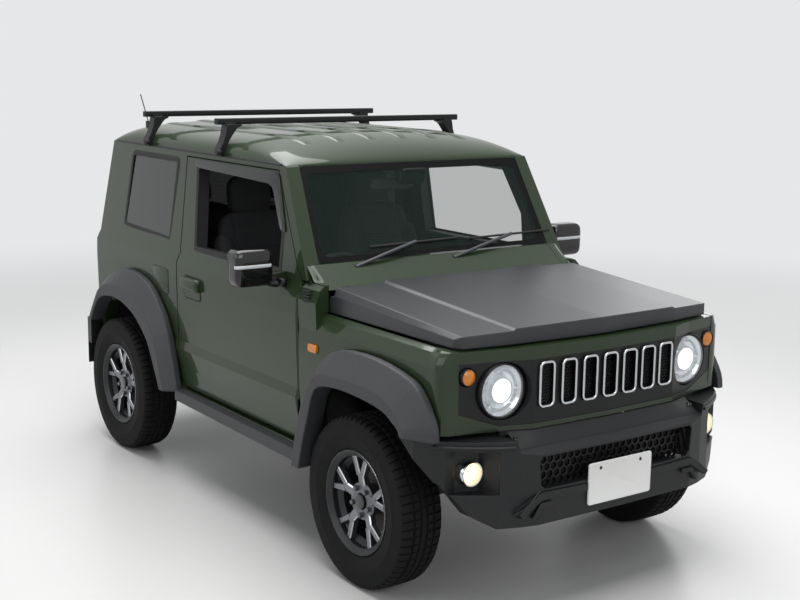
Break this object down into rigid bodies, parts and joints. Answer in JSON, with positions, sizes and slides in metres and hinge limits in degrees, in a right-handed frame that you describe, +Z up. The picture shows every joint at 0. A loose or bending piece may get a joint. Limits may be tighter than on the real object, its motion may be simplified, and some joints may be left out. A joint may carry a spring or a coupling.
{
  "type": "compact three-door off-road car",
  "caption": "Compact boxy off-road car with ladder frame, solid axles, wide arch flares, roof bars and a rear-mounted spare wheel.",
  "frame": {"origin": "middle of the whole footprint, on the ground", "axes": "+Z up, +Y towards the rear, -Y the front, -X the car's own right side"},
  "size_m": [1.924, 3.55, 1.8516],
  "materials": {
    "paint": "gloss",
    "bonnet_paint": "matte",
    "dark_plastic": "grained",
    "glass": "tinted",
    "lamp_glass": "clear",
    "steel": "satin",
    "cast": "rough",
    "black_metal": "satin",
    "plate": "satin",
    "seat_cloth": "woven",
    "wheel_rim": "smooth",
    "tyre": "matte",
    "alloy": "satin"
  },
  "bodies": {
    "vehicle": {"chassis_frame": "steel", "floor_pan": "steel", "bulkhead": "steel", "side_frame_right": "paint", "side_frame_left": "paint", "roof_panel": "paint", "windscreen": "glass", "quarter_windows": "glass", "front_wings": "paint", "front_panel": "paint", "grille": "dark_plastic", "headlamps": "lamp_glass", "small_lamps": "lamp_glass", "front_bumper": "dark_plastic", "rear_bumper": "dark_plastic", "number_plate": "plate", "arch_flares": "dark_plastic", "sill_cladding": "dark_plastic", "roof_bars": "black_metal", "antenna": "black_metal", "dashboard": "dark_plastic", "steering_wheel": "wheel_rim", "front_seats": "seat_cloth", "rear_bench": "seat_cloth", "power_unit": "cast", "tank_and_exhaust": "steel", "suspension": "steel", "front_axle": "steel", "rear_axle": "steel"},
    "bonnet": {"bonnet": "bonnet_paint"},
    "door_right": {"door_right": "paint"},
    "door_left": {"door_left": "paint"},
    "tailgate": {"tailgate": "paint", "tailgate_window": "glass", "spare_wheel": "tyre"},
    "knuckle_right": {"knuckle_right": "steel"},
    "knuckle_left": {"knuckle_left": "steel"},
    "wheel_front_right": {"tyre_front_right": "tyre", "rim_front_right": "alloy"},
    "wheel_front_left": {"tyre_front_left": "tyre", "rim_front_left": "alloy"},
    "wheel_rear_right": {"tyre_rear_right": "tyre", "rim_rear_right": "alloy"},
    "wheel_rear_left": {"tyre_rear_left": "tyre", "rim_rear_left": "alloy"}
  },
  "joints": [
    {"name": "steer_right", "type": "hinge", "parent": "vehicle", "child": "knuckle_right", "pos_m": [-0.625, -1.113, 0.3465], "axis": [0, 0, 1], "range_deg": [-30, 30]},
    {"name": "steer_left", "type": "hinge", "parent": "vehicle", "child": "knuckle_left", "pos_m": [0.625, -1.113, 0.3465], "axis": [0, 0, 1], "range_deg": [-30, 30]},
    {"name": "spin_front_right", "type": "hinge", "parent": "knuckle_right", "child": "wheel_front_right", "pos_m": [-0.6975, -1.113, 0.3465], "axis": [1, 0, 0], "continuous": true},
    {"name": "spin_front_left", "type": "hinge", "parent": "knuckle_left", "child": "wheel_front_left", "pos_m": [0.6975, -1.113, 0.3465], "axis": [1, 0, 0], "continuous": true},
    {"name": "spin_rear_right", "type": "hinge", "parent": "vehicle", "child": "wheel_rear_right", "pos_m": [-0.7025, 1.137, 0.3465], "axis": [1, 0, 0], "continuous": true},
    {"name": "spin_rear_left", "type": "hinge", "parent": "vehicle", "child": "wheel_rear_left", "pos_m": [0.7025, 1.137, 0.3465], "axis": [1, 0, 0], "continuous": true},
    {"name": "door_right_hinge", "type": "hinge", "parent": "vehicle", "child": "door_right", "pos_m": [-0.722, -0.581, 0.785], "axis": [0, 0, 1], "range_deg": [0, 65]},
    {"name": "door_left_hinge", "type": "hinge", "parent": "vehicle", "child": "door_left", "pos_m": [0.722, -0.581, 0.785], "axis": [0, 0, -1], "range_deg": [0, 65]},
    {"name": "tailgate_hinge", "type": "hinge", "parent": "vehicle", "child": "tailgate", "pos_m": [-0.612, 1.527, 0.85], "axis": [0, 0, 1], "range_deg": [0, 85]},
    {"name": "bonnet_hinge", "type": "hinge", "parent": "vehicle", "child": "bonnet", "pos_m": [0, -0.761, 1.128], "axis": [-1, 0, 0], "range_deg": [0, 50]}
  ],
  "couplings": [
    {"joint": "steer_left", "follows": "steer_right", "ratio": 1}
  ]
}
